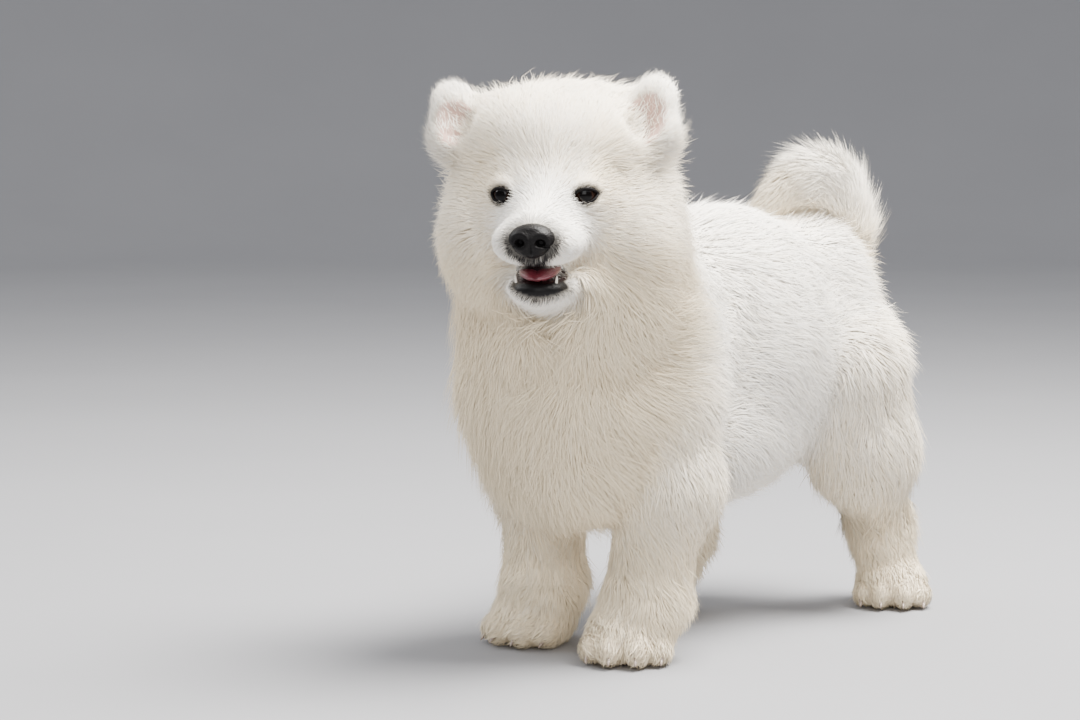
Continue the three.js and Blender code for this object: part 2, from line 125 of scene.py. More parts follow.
def melt(fillet, *values):
    """The union of distances, with a fillet where they meet."""
    total = values[0]
    for value in values[1:]:
        near = np.maximum(fillet - np.abs(total - value), 0.0) / fillet
        total = np.minimum(total, value) - near * near * fillet / 4.0
    return total


HEAD_CENTRE = np.array([8.0, -142.0, 240.0])
HEAD_TURN = math.radians(31.0)
HEAD_FRAME = turned(z=HEAD_TURN)


def in_head(left, ahead, up):
    """The place that lies so far left, ahead and up from the middle of the skull."""
    return HEAD_CENTRE + HEAD_FRAME @ np.array([left, -ahead, up], float)


def head_sizes(points):
    """Points as left, ahead and up from the middle of the skull."""
    return (points - HEAD_CENTRE) @ HEAD_FRAME * np.array([1.0, -1.0, 1.0])


def head_blob(left, ahead, up, radii, turn=np.eye(3)):
    return blob(in_head(left, ahead, up), radii, HEAD_FRAME @ turn)


trunk_blobs = [
    blob((MIDLINE, -84, 151), (67, 72, 83)),
    blob((MIDLINE, 10, 153), (60, 96, 80)),
    blob((MIDLINE, 82, 156), (51, 56, 75)),
    blob((MIDLINE, -122, 146), (57, 42, 64)),
    blob((MIDLINE, -108, 106), (50, 40, 36)),
    blob((MIDLINE, -20, 108), (52, 76, 42)),
    blob((MIDLINE + 2, -100, 182), (66, 46, 62)),
    blob((-4, -124, 188), (66, 44, 44)),
]
skull_blobs = [
    head_blob(0, -22, 2, (60, 52, 52.5)),
    head_blob(0, -18, 26, (62, 42, 28.5)),
    head_blob(34, -18, -24, (32, 43, 38)),
    head_blob(-34, -18, -24, (32, 43, 38)),
    head_blob(0, -10, -42, (46, 36, 22)),
]
muzzle_parts = [
    bone(in_head(0, 8, -11), in_head(0, 47, -21), 23, 13.5),
    head_blob(9.5, 41, -24, (13.5, 20, 11)),
    head_blob(-9.5, 41, -24, (13.5, 20, 11)),
]
chin_blob = head_blob(0, 31, -46.5, (18, 22.5, 10.5))
# The two ears aren't held quite alike: how far each is let out and down.
ear_turns = {side: turned(-0.18, 0.42 * side, -0.35 * side) for side in (1, -1)}
ear_shifts = {1: (-1.0, 3.5), -1: (3.0, 6.5)}
ear_blobs = {
    side: [
        head_blob((44.5 + out) * side, -6, 35.5 - down, (19.5, 10, 17), ear_turns[side]),
        head_blob((49 + out) * side, -6, 48 - down, (12, 8, 12.5), ear_turns[side]),
    ]
    for side, (out, down) in ear_shifts.items()
}
cup_places = {side: ((45 + out) * side, 6, 40 - down) for side, (out, down) in ear_shifts.items()}
ear_cups = [head_blob(*place, (11.5, 10, 13.5), ear_turns[side]) for side, place in cup_places.items()]
mouth_hollow = head_blob(0, 43, -38.6, (15.0, 24, 4.2), turned(x=-0.04))
smile_creases = [
    bone(in_head(13.5 * side, 48, -38.5), in_head(27 * side, 35, -33.0), 1.9, 0.7) for side in (1, -1)
]

# Each leg has its joints from the body down, its paw, how far its toes turn and half the paw's width.
forelegs = [
    {"elbow": (28, -82, 94), "wrist": (25, -90, 32), "paw": (21, -101, 0), "toes": 0.6, "half": 25.0},
    {"elbow": (-50, -84, 94), "wrist": (-46, -89, 32), "paw": (-50, -96, 0), "toes": 0.1, "half": 25.0},
]
hindlegs = [
    {"hip": (18, 86, 140), "stifle": (26, 96, 96), "hock": (17, 128, 50), "ankle": (22, 130, 22),
     "paw": (29, 125, 0), "toes": 0.6, "half": 23.25},
    {"hip": (-42, 72, 140), "stifle": (-50, 36, 98), "hock": (-50, 32, 50), "ankle": (-51, 16, 22),
     "paw": (-52, 4, 0), "toes": -0.1, "half": 23.25},
]


def foreleg_bones(leg):
    (ex, ey, _), (px, py, _) = leg["elbow"], leg["paw"]
    return [
        bone((MIDLINE + (ex - MIDLINE) * 0.8, ey, 130), leg["elbow"], 36, 32),
        bone(leg["elbow"], leg["wrist"], 31, 22),
        bone(leg["wrist"], (px, py + 4, 18), 22, 20),
    ]


def hindleg_bones(leg):
    return [
        bone(leg["hip"], leg["stifle"], 41, 34),
        bone(leg["stifle"], leg["hock"], 33, 20),
        bone(leg["hock"], leg["ankle"], 19, 19),
    ]


def toe_place(leg, side, ahead, up):
    """A place on a paw, in halves of its width from the paw's middle on the floor."""
    return np.array(leg["paw"], float) + turned(z=leg["toes"]) @ np.array([side, -ahead, up]) * leg["half"]


def paw_blobs(leg):
    """The pad of a paw, and its inner and outer toes."""
    shapes = [((0, -0.1, 0.5), (0.9, 0.95, 0.68))]
    for side in (-1, 1):
        shapes.append(((0.29 * side, 0.60, 0.36), (0.34, 0.46, 0.41)))
        shapes.append(((0.68 * side, 0.28, 0.33), (0.33, 0.46, 0.38)))
    turn, half = turned(z=leg["toes"]), leg["half"]
    return [blob(toe_place(leg, *place), np.array(radii) * half, turn) for place, radii in shapes]


legs = forelegs + hindlegs
leg_parts = [(foreleg_bones(leg), 12, paw_blobs(leg), leg["half"] * 0.14) for leg in forelegs]
leg_parts += [(hindleg_bones(leg), 14, paw_blobs(leg), leg["half"] * 0.14) for leg in hindlegs]

TAIL_LINE = np.array([
    (-6, 104, 184), (-4.5, 107.8, 192.7), (-4, 111, 201.3), (-3.5, 112.5, 210), (-3.3, 111.1, 220),
    (-3.1, 106.8, 230.1), (-4, 101, 237), (-6.2, 94.6, 239.1), (-9.2, 87, 238.7), (-12, 80, 237),
    (-14.1, 74.4, 234.1), (-16.1, 69.2, 230.1), (-18, 64, 226),
], float)
TAIL_RADII = np.interp(np.arange(13) / 3.0, range(5), (23, 26.5, 27, 23, 18))
tail_bones = [
    bone(TAIL_LINE[i], TAIL_LINE[i + 1], TAIL_RADII[i], TAIL_RADII[i + 1]) for i in range(len(TAIL_LINE) - 1)
]

PARTS = ("trunk", "skull", "muzzle", "ears", "forelegs", "hindlegs", "paws", "tail")


def outline(points):
    """The distance to the tips of the coat, and to those of each part of the body."""
    trunk = melt(18, *[one(points) for one in trunk_blobs])
    skull = melt(12, *[one(points) for one in skull_blobs])
    muzzle = melt(8, *[one(points) for one in muzzle_parts])
    chin = chin_blob(points)
    ears = [melt(8, *[one(points) for one in ear_blobs[side]]) for side in (1, -1)]
    limbs, paws = [], []
    for bones, fillet, toes, toe_fillet in leg_parts:
        limbs.append(melt(fillet, *[one(points) for one in bones]))
        paws.append(melt(toe_fillet, *[one(points) for one in toes]))
    tail = np.min([one(points) for one in tail_bones], axis=0)
    face = melt(20, skull, melt(5, muzzle, chin))
    whole_legs = [melt(9, limb, paw) for limb, paw in zip(limbs, paws)]
    total = melt(8, melt(18, trunk, face), melt(14, trunk, *whole_legs), tail, *ears)
    parts = {
        "trunk": trunk, "skull": skull, "muzzle": np.minimum(muzzle, chin), "ears": np.minimum(*ears),
        "forelegs": np.minimum(limbs[0], limbs[1]), "hindlegs": np.minimum(limbs[2], limbs[3]),
        "paws": np.min(paws, axis=0), "tail": tail,
    }
    return total, parts


def shares(total, parts, blend):
    """How much each part of the body has to say at each point, all of them adding up to 1."""
    weights = {name: np.exp(-np.clip(parts[name] - total, 0, 200) / blend) for name in PARTS}
    whole = sum(weights.values())
    return {name: weights[name] / whole for name in PARTS}


def nearer_side(points, left, ahead, up):
    """How far points lie from a place on the head or from its twin on the other side."""
    return np.min([length(points - in_head(left * side, ahead, up)) for side in (1, -1)], axis=0)


# Round each eye, left or right, ahead and up from the middle of the skull, the hair is shortest.
SOCKET = (19.7, 27, -1)


def coat_depth(points, total, parts):
    """How far the skin lies under the tips of the coat."""
    share = shares(total, parts, 6.0)
    _, ahead, up = head_sizes(points).T
    short_hair = rise(ahead, -14, 26)
    face = 11.0 - 7.2 * short_hair - 3.0 * rise(up, 10, 40) * (1 - short_hair)
    face = face + (2.0 - face) * rise(-nearer_side(points, *SOCKET), -20, -9)
    chest = rise(-points[:, 1], 70, 130)
    leg = 4.5 + 3.5 * rise(points[:, 2], 20, 60)
    depths = {
        "trunk": 13.0 + 3.0 * chest, "skull": face, "muzzle": 1.9, "ears": 2.0,
        "forelegs": leg, "hindlegs": leg + 1.0, "paws": 2.2, "tail": 13.5,
    }
    return sum(share[name] * depths[name] for name in PARTS)


def skin_level(points):
    """Zero on the skin: the outline let down by the coat's depth, with the mouth and the ears hollow."""
    total, parts = outline(points)
    level = total + coat_depth(points, total, parts)
    for hollow in [mouth_hollow] + ear_cups + smile_creases:
        level = np.maximum(level, -hollow(points))
    return np.maximum(level, 0.5 - points[:, 2])


def settle(points, level, rounds, reach):
    """Moves points onto a level's zero, by at most reach in each round."""
    feel = 0.4
    for _ in range(rounds):
        value = level(points)
        slope = np.stack([(level(points + step) - value) / feel for step in np.eye(3) * feel], 1)
        move = np.clip(value / np.maximum((slope * slope).sum(1), 0.3), -reach, reach)
        points = points - slope * move[:, None]
    return points


def corners_of(mesh):
    found = np.empty(len(mesh.vertices) * 3)
    mesh.vertices.foreach_get("co", found)
    return found.reshape(-1, 3)


def set_corners(mesh, points):
    mesh.vertices.foreach_set("co", points.astype(np.float32).ravel())
    mesh.update()


def edges_of(mesh):
    found = np.empty(len(mesh.edges) * 2, np.int64)
    mesh.edges.foreach_get("vertices", found)
    return found.reshape(-1, 2)


def mean_of_neighbours(values, edges):
    """For each corner of a mesh, the mean of the values at the other ends of its edges."""
    count = np.bincount(edges.ravel(), minlength=len(values)).clip(1)
    both = np.concatenate([edges, edges[:, ::-1]])
    sums = [np.bincount(both[:, 0], column[both[:, 1]], len(values)) for column in values.T]
    return np.stack(sums, 1) / count[:, None]


def relaxed(points, edges, rounds, share=0.5):
    """Draws points towards their neighbours, to even them out."""
    for _ in range(rounds):
        points = points + (mean_of_neighbours(points, edges) - points) * share
    return points


def select_only(*objects):
    bpy.ops.object.select_all(action="DESELECT")
    for one in objects:
        one.select_set(True)
    bpy.context.view_layer.objects.active = objects[0]


@contextmanager
def editing(piece):
    """Edit mode on one piece, with all of it selected."""
    select_only(piece)
    bpy.ops.object.mode_set(mode="EDIT")
    bpy.ops.mesh.select_all(action="SELECT")
    yield
    bpy.ops.object.mode_set(mode="OBJECT")


def remesh(piece, size):
    """Covers a piece anew with even facets of one size, in metres."""
    select_only(piece)
    modifier = piece.modifiers.new("even_facets", "REMESH")
    modifier.mode = "VOXEL"
    modifier.voxel_size = size
    bpy.ops.object.modifier_apply(modifier=modifier.name)


# The skin starts as a copy of all the solids in one, without the frame's own notes on them.
FLESH = [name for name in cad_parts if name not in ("eye_left", "eye_right", "nose", "tongue")]
copies = []
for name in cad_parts:
    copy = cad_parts[name].copy()
    copy.data = copy.data.copy()
    copy.parent = None
    for key in list(copy.keys()):
        del copy[key]
    bpy.context.scene.collection.objects.link(copy)
    copies.append(copy)
select_only(*copies)
bpy.ops.object.join()
skin = copies[0]
skin.name = "skin"
skin.data.name = "skin"
with editing(skin):
    bpy.ops.mesh.remove_doubles(threshold=0.00001)
for facet, rounds in ((0.0036, 5), (0.0026, 4), (0.0022, 3)):
    remesh(skin, facet)
    edges = edges_of(skin.data)
    points = from_frame(corners_of(skin.data))
    for _ in range(rounds):
        points = relaxed(settle(points, skin_level, 1, 4.0), edges, 2)
    points = settle(points, skin_level, 1, 2.0)
    set_corners(skin.data, to_frame(points))

# The face is moulded finer: lids over the eyeballs, and the lips round the mouth. Each opening
# between the lids is an almond between two arcs, which leans up towards the ear.
EYE_RADIUS = 7.2
EYE_SPREAD = 18.8
EYE_LEAN = 0.14
LID_HALF_WIDTH = 6.4
LID_HALF_HEIGHT = 3.2
LID_THICKNESS = 1.5
SOCKET_DEPTH = 1.4
eye_centres = {side: in_head(EYE_SPREAD * side, 23.5, -1) for side in (1, -1)}
eye_frames = {side: HEAD_FRAME @ turned(x=0.05, z=0.30 * side) for side in (1, -1)}


def eye_sizes(points, side):
    """Points as across, up and out from the middle of an eyeball, along the way that it looks."""
    local = (points - eye_centres[side]) @ eye_frames[side]
    lean = EYE_LEAN * side
    across = local[:, 0] * math.cos(lean) + local[:, 2] * math.sin(lean)
    up = local[:, 2] * math.cos(lean) - local[:, 0] * math.sin(lean)
    return across * side, up, -local[:, 1]


def almond(spare):
    """Half the width and height of the opening between the lids, and the radius of its arcs."""
    width, height = LID_HALF_WIDTH + spare, LID_HALF_HEIGHT + spare
    return width, height, (width * width + height * height) / (2 * height)


def lid_opening(points, side, spare=0.0):
    """Below zero in front of the eyeball where the lids are open."""
    across, up, out = eye_sizes(points, side)
    _, height, radius = almond(spare)
    above = np.hypot(across, up + radius - height)
    below = np.hypot(across, up - radius + height)
    return np.maximum(np.maximum(above, below) - radius, -out)


def either_lid_opening(points, spare):
    return np.min([lid_opening(points, side, spare) for side in (1, -1)], axis=0)


def face_level(points):
    """Zero on the skin, with lids that bulge over the eyeballs and are open in front of them."""
    level = skin_level(points)
    for side in (1, -1):
        ball = length(points - eye_centres[side])
        level = melt(4, level, ball - EYE_RADIUS - LID_THICKNESS)
        level = np.maximum(level, -np.maximum(lid_opening(points, side), EYE_RADIUS - SOCKET_DEPTH - ball))
    return level


def faces_in(mesh, near):
    """Which faces have all their corners where near says."""
    at = near(from_frame(corners_of(mesh)))
    starts = np.empty(len(mesh.polygons), np.int64)
    mesh.polygons.foreach_get("loop_start", starts)
    corner = np.empty(len(mesh.loops), np.int64)
    mesh.loops.foreach_get("vertex_index", corner)
    return np.minimum.reduceat(at[corner].astype(int), starts) > 0


def by_the_face(points):
    left, ahead, up = head_sizes(points).T
    return (ahead > 12) & (np.abs(left) < 36) & (up < 18) & (up > -58)


def by_lids_and_lips(points):
    by_eyes = nearer_side(points, EYE_SPREAD, 27, -1) < 12.5
    return by_eyes | ((head_sizes(points)[:, 1] > 38) & (np.abs(mouth_hollow(points)) < 5))


bpy.context.tool_settings.mesh_select_mode = (False, False, True)
for near in (by_the_face, by_lids_and_lips):
    select_only(skin)
    bpy.ops.object.mode_set(mode="EDIT")
    bpy.ops.mesh.select_all(action="DESELECT")
    bpy.ops.object.mode_set(mode="OBJECT")
    skin.data.polygons.foreach_set("select", faces_in(skin.data, near))
    bpy.ops.object.mode_set(mode="EDIT")
    bpy.ops.mesh.subdivide(number_cuts=1)
    bpy.ops.object.mode_set(mode="OBJECT")
    edges = edges_of(skin.data)
    points = from_frame(corners_of(skin.data))
    chosen = np.flatnonzero(by_the_face(points))
    for _ in range(7):
        points[chosen] = settle(points[chosen], face_level, 1, 1.5)
        points[chosen] = relaxed(points, edges, 1, 0.3)[chosen]
    points[chosen] = settle(points[chosen], face_level, 2, 0.8)
    set_corners(skin.data, to_frame(points))
select_only(skin)
bpy.ops.object.shade_smooth()
points = from_frame(corners_of(skin.data))
edges = edges_of(skin.data)


def normals_of(mesh):
    found = np.empty(len(mesh.vertices) * 3)
    mesh.vertices.foreach_get("normal", found)
    return found.reshape(-1, 3)


outward = normals_of(skin.data)
total, parts = outline(points)
share = shares(total, parts, 5.0)
depth = np.maximum(-total, 0.0)
left, ahead, up = head_sizes(points).T

# Where the skin is bare and black or pink: lids, lips, the mouth, the floor of the ears and the soles.
by_eyes = (np.abs(left) < 40) * (ahead > 10)
on_lids = rise(-either_lid_opening(points, 0.9), -0.5, 0.3) * by_eyes
mouth_gap = mouth_hollow(points)
lip_edge = -49.6 + 0.022 * (left - 1.5) ** 2
lower_lip = rise(up - lip_edge, -0.8, 0.8) * (up < -36) * rise(ahead, 33, 39)
creases = np.minimum(*[one(points) for one in smile_creases])
upper_lip = rise(-mouth_gap, -1.8, -0.6) * rise(ahead, 26, 34)
# Along the creases of the smile the skin is black, partly the lip's own black and partly painted shade in the
# crease.
upper_lip = np.maximum(upper_lip, 0.8 * rise(-creases, -0.9, 0.1))
on_lips = np.maximum(lower_lip, upper_lip) * (share["muzzle"] > 0.2)
in_cups = np.minimum(*[cup(points) for cup in ear_cups])
ear_floor = rise(-in_cups, -3.2, -0.8) * (share["ears"] > 0.2)
under_nose = length(np.stack([left / 10.0, (ahead - 57.4) / 10.0, (up + 22) / 7.5], 1))
on_nose = rise(-under_nose, -1.15, -1.0)
philtrum = length(np.stack([left / 6.0, (ahead - 56) / 12.0, (up + 31) / 6.5], 1))
soles = rise(-points[:, 2], -2.5, -1.2)
leather = np.clip(np.maximum.reduce([on_lids, on_lips, on_nose]), 0, 1)

# Round the leather the hair is short and dark: on the lower lip, below the nose and along its edge, round the
# lids and on the upper lip. In the creases of the smile it is shorter and darkened as painted shade.
nose_edge = length(np.stack([left / 12.5, (ahead - 57.4) / 10.0, (up + 22) / 10.5], 1))
dark_hair_and_crease_shade = np.maximum.reduce([
    rise(up - lip_edge, -2.4, 0.2) * (up < -36) * rise(ahead, 32, 39) * (np.abs(left) < 20),
    rise(-philtrum, -1.5, -0.8),
    rise(-nose_edge, -1.16, -1.0) * (0.4 + 0.6 * rise(-up, 14, 22)),
    0.9 * rise(-either_lid_opening(points, 2.0), -0.9, 0.3) * by_eyes,
    # Painted shade along the creases of the smile.
    0.6 * rise(-creases, -2.2, -0.2),
    upper_lip * (np.abs(left) < 18),
]) * (ahead > 10)
dark = np.maximum(leather, 0.9 * dark_hair_and_crease_shade)
in_mouth = rise(-mouth_gap, -1.2, 0.2) * (ahead > 20) * (np.abs(left) < 24)


def paint_points(mesh, name, values):
    layer = mesh.attributes.new(name, "FLOAT", "POINT")
    layer.data.foreach_set("value", np.asarray(values, np.float32))


def cream_and_shade_of(points, share):
    """The coat's cream, partly its own biscuit tint and partly painted shade: on the chest and legs, deeper
    low down, under the chin, on the cheeks and brow, along the tail's inner side and in the crease where the
    tail lies on the rump.
    """
    left, ahead, up = head_sizes(points).T
    # The chest's cream reaches up under the chin, where it is painted shade under the head.
    chest = rise(-points[:, 1], 60, 120) * rise(-points[:, 2], -245, -200) * share["trunk"]
    by_muzzle = rise(ahead, 14, 26) * rise(-np.abs(left), -26, -14)
    # The cheeks' cream deepens downwards as painted shade under the head, and the band across the brow is
    # partly painted shade above the eyes.
    jowls = share["skull"] * (0.42 + 0.6 * rise(-up, 8, 50)) * (1 - 0.7 * by_muzzle)
    brow = share["skull"] * np.exp(-((ahead - 26) ** 2 + (up - 10) ** 2) / 300.0) * 0.35
    tail = share["tail"] * (0.15 + 0.4 * rise(-points[:, 1], -100, -70))
    # Painted shade in the crease where the tail lies on the rump.
    tail += 3.0 * share["tail"] * share["trunk"]
    # Lower down the legs and trunk are creamier, partly as painted shade away from the lamp above.
    low = rise(-points[:, 2], -120, -50)
    limbs = (share["forelegs"] + share["hindlegs"] + share["paws"]) * (0.4 + 0.4 * low)
    limbs += 0.3 * share["trunk"] * rise(points[:, 1], 70, 120) + 0.15 * share["trunk"] * low
    return np.clip(0.15 + 0.85 * chest + jowls + brow + tail + limbs - 0.3 * share["muzzle"], 0, 1)


cream_and_shade = cream_and_shade_of(points, share)
paint_points(skin.data, "dark", dark)
paint_points(skin.data, "wet", in_mouth)
paint_points(skin.data, "pink", np.clip(ear_floor + 0.6 * soles, 0, 1))
paint_points(skin.data, "cream_and_shade", cream_and_shade)


class Wire:
    """A value in a material. An expression on wires adds its Math nodes."""

    def __init__(self, paint, socket):
        self.paint, self.socket = paint, socket

    def maths(self, operation, first, second):
        return self.paint.add("ShaderNodeMath", {"operation": operation}, first, second)

    def __sub__(self, other):
        return self.maths("SUBTRACT", self, other)

    def __rsub__(self, other):
        return self.maths("SUBTRACT", other, self)

    def __mul__(self, other):
        return self.maths("MULTIPLY", self, other)

    __rmul__ = __mul__


class Paint:
    """A material whose nodes are added one by one."""

    def __init__(self, name, **finish):
        self.material = bpy.data.materials.new(name)
        self.material.use_nodes = True
        self.tree = self.material.node_tree
        self.shader = self.tree.nodes["Principled BSDF"]
        self.set(**finish)

    def set(self, **finish):
        """Fills sockets of the shader, named with _ for a space."""
        for name, value in finish.items():
            self.fill(self.shader.inputs[name.replace("_", " ")], value)

    def fill(self, socket, value):
        if isinstance(value, Wire):
            self.tree.links.new(value.socket, socket)
        elif socket.type == "RGBA" and len(value) == 3:
            socket.default_value = (*value, 1.0)
        else:
            socket.default_value = value

    def add(self, kind, settings, *values, out=0, **named):
        """A node of a kind, with its settings and with values or wires in its sockets."""
        node = self.tree.nodes.new(kind)
        for name, value in settings.items():
            if name == "stops":
                ramp = node.color_ramp
                for i, (place, colour) in enumerate(value):
                    stop = ramp.elements[i] if i < 2 else ramp.elements.new(place)
                    stop.position, stop.color = place, (*colour, 1.0)
            else:
                setattr(node, name, value)
        for i, value in enumerate(values):
            self.fill(node.inputs[i], value)
        for name, value in named.items():
            self.fill(node.inputs[name.replace("_", " ")], value)
        return Wire(self, node.outputs[out])

    def place(self):
        """Object coordinates."""
        return self.add("ShaderNodeTexCoord", {}, out=3)

    def painted(self, name):
        return self.add("ShaderNodeAttribute", {"attribute_name": name}, out=2)

    def noise(self, scale):
        finish = {"Scale": scale, "Detail": 3.0, "Roughness": 0.55}
        return self.add("ShaderNodeTexNoise", {}, Vector=self.place(), **finish)

    def mix(self, share, first, second):
        node = self.tree.nodes.new("ShaderNodeMix")
        node.data_type = "RGBA"
        self.fill(node.inputs[0], share)
        self.fill(node.inputs[6], first)
        self.fill(node.inputs[7], second)
        return Wire(self, node.outputs[2])

    def bump(self, height, distance, strength):
        self.set(Normal=self.add("ShaderNodeBump", {}, Height=height, Distance=distance, Strength=strength))

    def on(self, piece):
        piece.data.materials.clear()
        piece.data.materials.append(self.material)
        piece.data.polygons.foreach_set("material_index", np.zeros(len(piece.data.polygons), np.int32))


skin_paint = Paint("skin_under_coat", Roughness=0.7, Specular_IOR_Level=0.15)
# The skin's cream is partly its own biscuit tint and partly painted shade, as on the coat.
shade = skin_paint.mix(skin_paint.painted("cream_and_shade"), (0.94, 0.88, 0.77), (0.86, 0.73, 0.53))
shade = skin_paint.mix(skin_paint.painted("pink"), shade, (0.74, 0.50, 0.42))
shade = skin_paint.mix(skin_paint.painted("dark"), shade, (0.005, 0.0045, 0.0045))
# Inside the mouth the skin is painted a near-black red.
shade = skin_paint.mix(skin_paint.painted("wet") * 0.85, shade, (0.022, 0.006, 0.006))
skin_paint.set(Base_Color=shade, Roughness=0.75 - skin_paint.painted("dark") * 0.35)
skin_paint.bump(skin_paint.noise(900.0), 0.0003, 0.6)
skin_paint.on(skin)

# The skin is opened out flat on its own shape, and the coat takes its places from that chart.
while skin.data.uv_layers:
    skin.data.uv_layers.remove(skin.data.uv_layers[0])
skin.data.uv_layers.new(name="OFBake")
with editing(skin):
    bpy.ops.uv.smart_project(angle_limit=math.radians(66), island_margin=0.003)
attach(skin, "root")
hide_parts(*FLESH)


# Eyes: dark brown balls with a clear, slightly domed cornea, set in the sockets behind the lids.
# They look the way that the face points.

CORNEA_RISE = 0.7
PUPIL_BLACK = (0.002, 0.0015, 0.0015)
eye_paint = Paint("eye_brown", Roughness=0.06, Specular_IOR_Level=0.16)


def ball_piece(name, segments, rings, radius=0.001, **at):
    """A ball added at its size and place, in metres, and ready to be shaped."""
    bpy.ops.object.select_all(action="DESELECT")
    bpy.ops.mesh.primitive_uv_sphere_add(segments=segments, ring_count=rings, radius=radius, **at)
    bpy.context.object.name = name
    bpy.ops.object.transform_apply(location=True, rotation=True, scale=True)
    bpy.ops.object.shade_smooth()
    return bpy.context.object


for side_name, side in (("left", 1), ("right", -1)):
    eye = ball_piece("eyeball_" + side_name, 64, 48, EYE_RADIUS * 0.001, location=to_frame(eye_centres[side]))
    at = from_frame(corners_of(eye.data))
    across, high, out = eye_sizes(at, side)
    off_axis = np.hypot(across, high)
    facing = eye_frames[side] @ np.array([0.0, -1.0, 0.0])
    at = at + facing * (CORNEA_RISE * rise(-off_axis, -5.2, -2.5) * (out > 0))[:, None]
    set_corners(eye.data, to_frame(at))
    paint_points(eye.data, "off_axis", off_axis + 20.0 * (out < 0))
    eye_paint.on(eye)
    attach(eye, "root")
    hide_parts("eye_" + side_name)
# From the pupil through the iris to the ball's edge: 1 on the ramp is 1 / 0.14 mm off the axis.
ring_stops = [
    (0.0, PUPIL_BLACK), (0.999, (0.03, 0.012, 0.008)),
    (0.40, PUPIL_BLACK), (0.47, (0.016, 0.007, 0.004)), (0.80, (0.008, 0.004, 0.003)),
]
off_axis_wire = eye_paint.painted("off_axis") * 0.14
eye_paint.set(Base_Color=eye_paint.add("ShaderNodeValToRGB", {"stops": ring_stops}, off_axis_wire))


# Lids: the bare black rims of the eyes, a soft cord of skin that follows the opening and lies on
# the eyeball, drawn out at the inner corner.

lid_paint = Paint("lid_black", Base_Color=(0.005, 0.004, 0.004), Roughness=0.6, Specular_IOR_Level=0.1)
lid_paint.bump(lid_paint.noise(1800.0), 0.0002, 0.5)


def link_mesh(name, mesh):
    piece = bpy.data.objects.new(name, mesh)
    bpy.context.scene.collection.objects.link(piece)
    return piece


def tube(name, line, radii, sides=10, closed=True):
    """A round tube along a line, as one closed mesh. A closed line is a ring, an open one has ends."""
    count = len(line)
    ahead = np.roll(line, -1, 0) - np.roll(line, 1, 0)
    if not closed:
        ahead[0], ahead[-1] = line[1] - line[0], line[-1] - line[-2]
    ahead = unit(ahead)
    middle = line.mean(0)
    first = unit((line - middle) - ((line - middle) * ahead).sum(1)[:, None] * ahead)
    second = np.cross(ahead, first)
    turns = np.arange(sides) * 2 * math.pi / sides
    ring = first[:, None] * np.cos(turns)[None, :, None] + second[:, None] * np.sin(turns)[None, :, None]
    at = (line[:, None] + ring * np.asarray(radii)[:, None, None]).reshape(-1, 3)
    faces = []
    for i in range(count if closed else count - 1):
        for j in range(sides):
            a, b = i * sides + j, i * sides + (j + 1) % sides
            c, d = (i + 1) % count * sides + (j + 1) % sides, (i + 1) % count * sides + j
            faces.append((a, d, c, b))
    if not closed:
        faces.append(tuple(range(sides)))
        faces.append(tuple((count - 1) * sides + j for j in reversed(range(sides))))
    mesh = bpy.data.meshes.new(name)
    mesh.from_pydata([tuple(p) for p in to_frame(at)], [], faces)
    piece = link_mesh(name, mesh)
    with editing(piece):
        bpy.ops.mesh.normals_make_consistent(inside=False)
    bpy.ops.object.shade_smooth()
    return piece


for name, side in (("lid_rim_left", 1), ("lid_rim_right", -1)):
    turn_round = np.linspace(0, 2 * math.pi, 72, endpoint=False)
    width, height, arc_radius = almond(0.2)
    across = width * np.cos(turn_round)
    lid = np.sqrt(np.maximum(arc_radius**2 - across**2, 0)) - arc_radius + height
    high = np.where(np.sin(turn_round) >= 0, lid, -lid)
    out = np.sqrt(np.maximum((EYE_RADIUS + 0.7) ** 2 - across**2 - high**2, 1.0))
    lean = EYE_LEAN * side
    x, z = across * side, high
    x, z = x * math.cos(lean) - z * math.sin(lean), x * math.sin(lean) + z * math.cos(lean)
    line = eye_centres[side] + np.stack([x, -out, z], 1) @ eye_frames[side].T
    radii = 0.6 + 0.25 * rise(-across, 3.0, 6.0) + 0.15 * rise(high, 0, 3)
    rim = tube(name, line, radii)
    lid_paint.on(rim)
    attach(rim, "root")


# Nose: moist black leather with fine pebbles, a shallow groove down its middle and two
# comma-shaped nostrils that open to the sides.

NOSE_HALF_WIDTH = 11.3
NOSE_HALF_HEIGHT = 8.8
NOSE_HALF_DEPTH = 8.2
nose_paint = Paint("nose_leather", Roughness=0.42, Specular_IOR_Level=0.13)
nose = ball_piece("nose_leather", 160, 110, rotation=(math.pi / 2, 0, 0))
x, y, z = unit(corners_of(nose.data)).T
across = x * NOSE_HALF_WIDTH * (1 - 0.22 * rise(-z, -0.1, 1.0))
high = z * NOSE_HALF_HEIGHT
# How far back each point goes: the flattened front, the groove, and a wing, a hole and a slit a side.
back = 1.3 * rise(-y, 0.55, 1.0)
back += np.exp(-((across / 0.9) ** 2)) * rise(-y, 0.2, 0.8) * rise(-z, -0.45, 0.3)
for side in (1, -1):
    hole = np.hypot((across - 4.9 * side) / 2.5, (high + 0.6) / 1.9)
    slit = np.hypot((across - 8.2 * side) / 3.0, (high + 2.4) / 0.9)
    wing = np.hypot((across - 5.2 * side) / 5.2, (high - 0.2) / 4.3)
    back -= 0.7 * np.exp(-((wing - 0.9) ** 2) / 0.08) * rise(-y, 0.3, 0.8)
    back += (3.6 * rise(-hole, -1.15, -0.35) + 1.6 * rise(-slit, -1.2, -0.3)) * rise(-y, 0.1, 0.5)
shape = np.stack([across, y * NOSE_HALF_DEPTH + back, high - z * 0.8 * rise(z, 0, 1)], 1)
at = in_head(0, 57.4, -21.8) + shape @ (HEAD_FRAME @ turned(x=0.12)).T
set_corners(nose.data, to_frame(at))
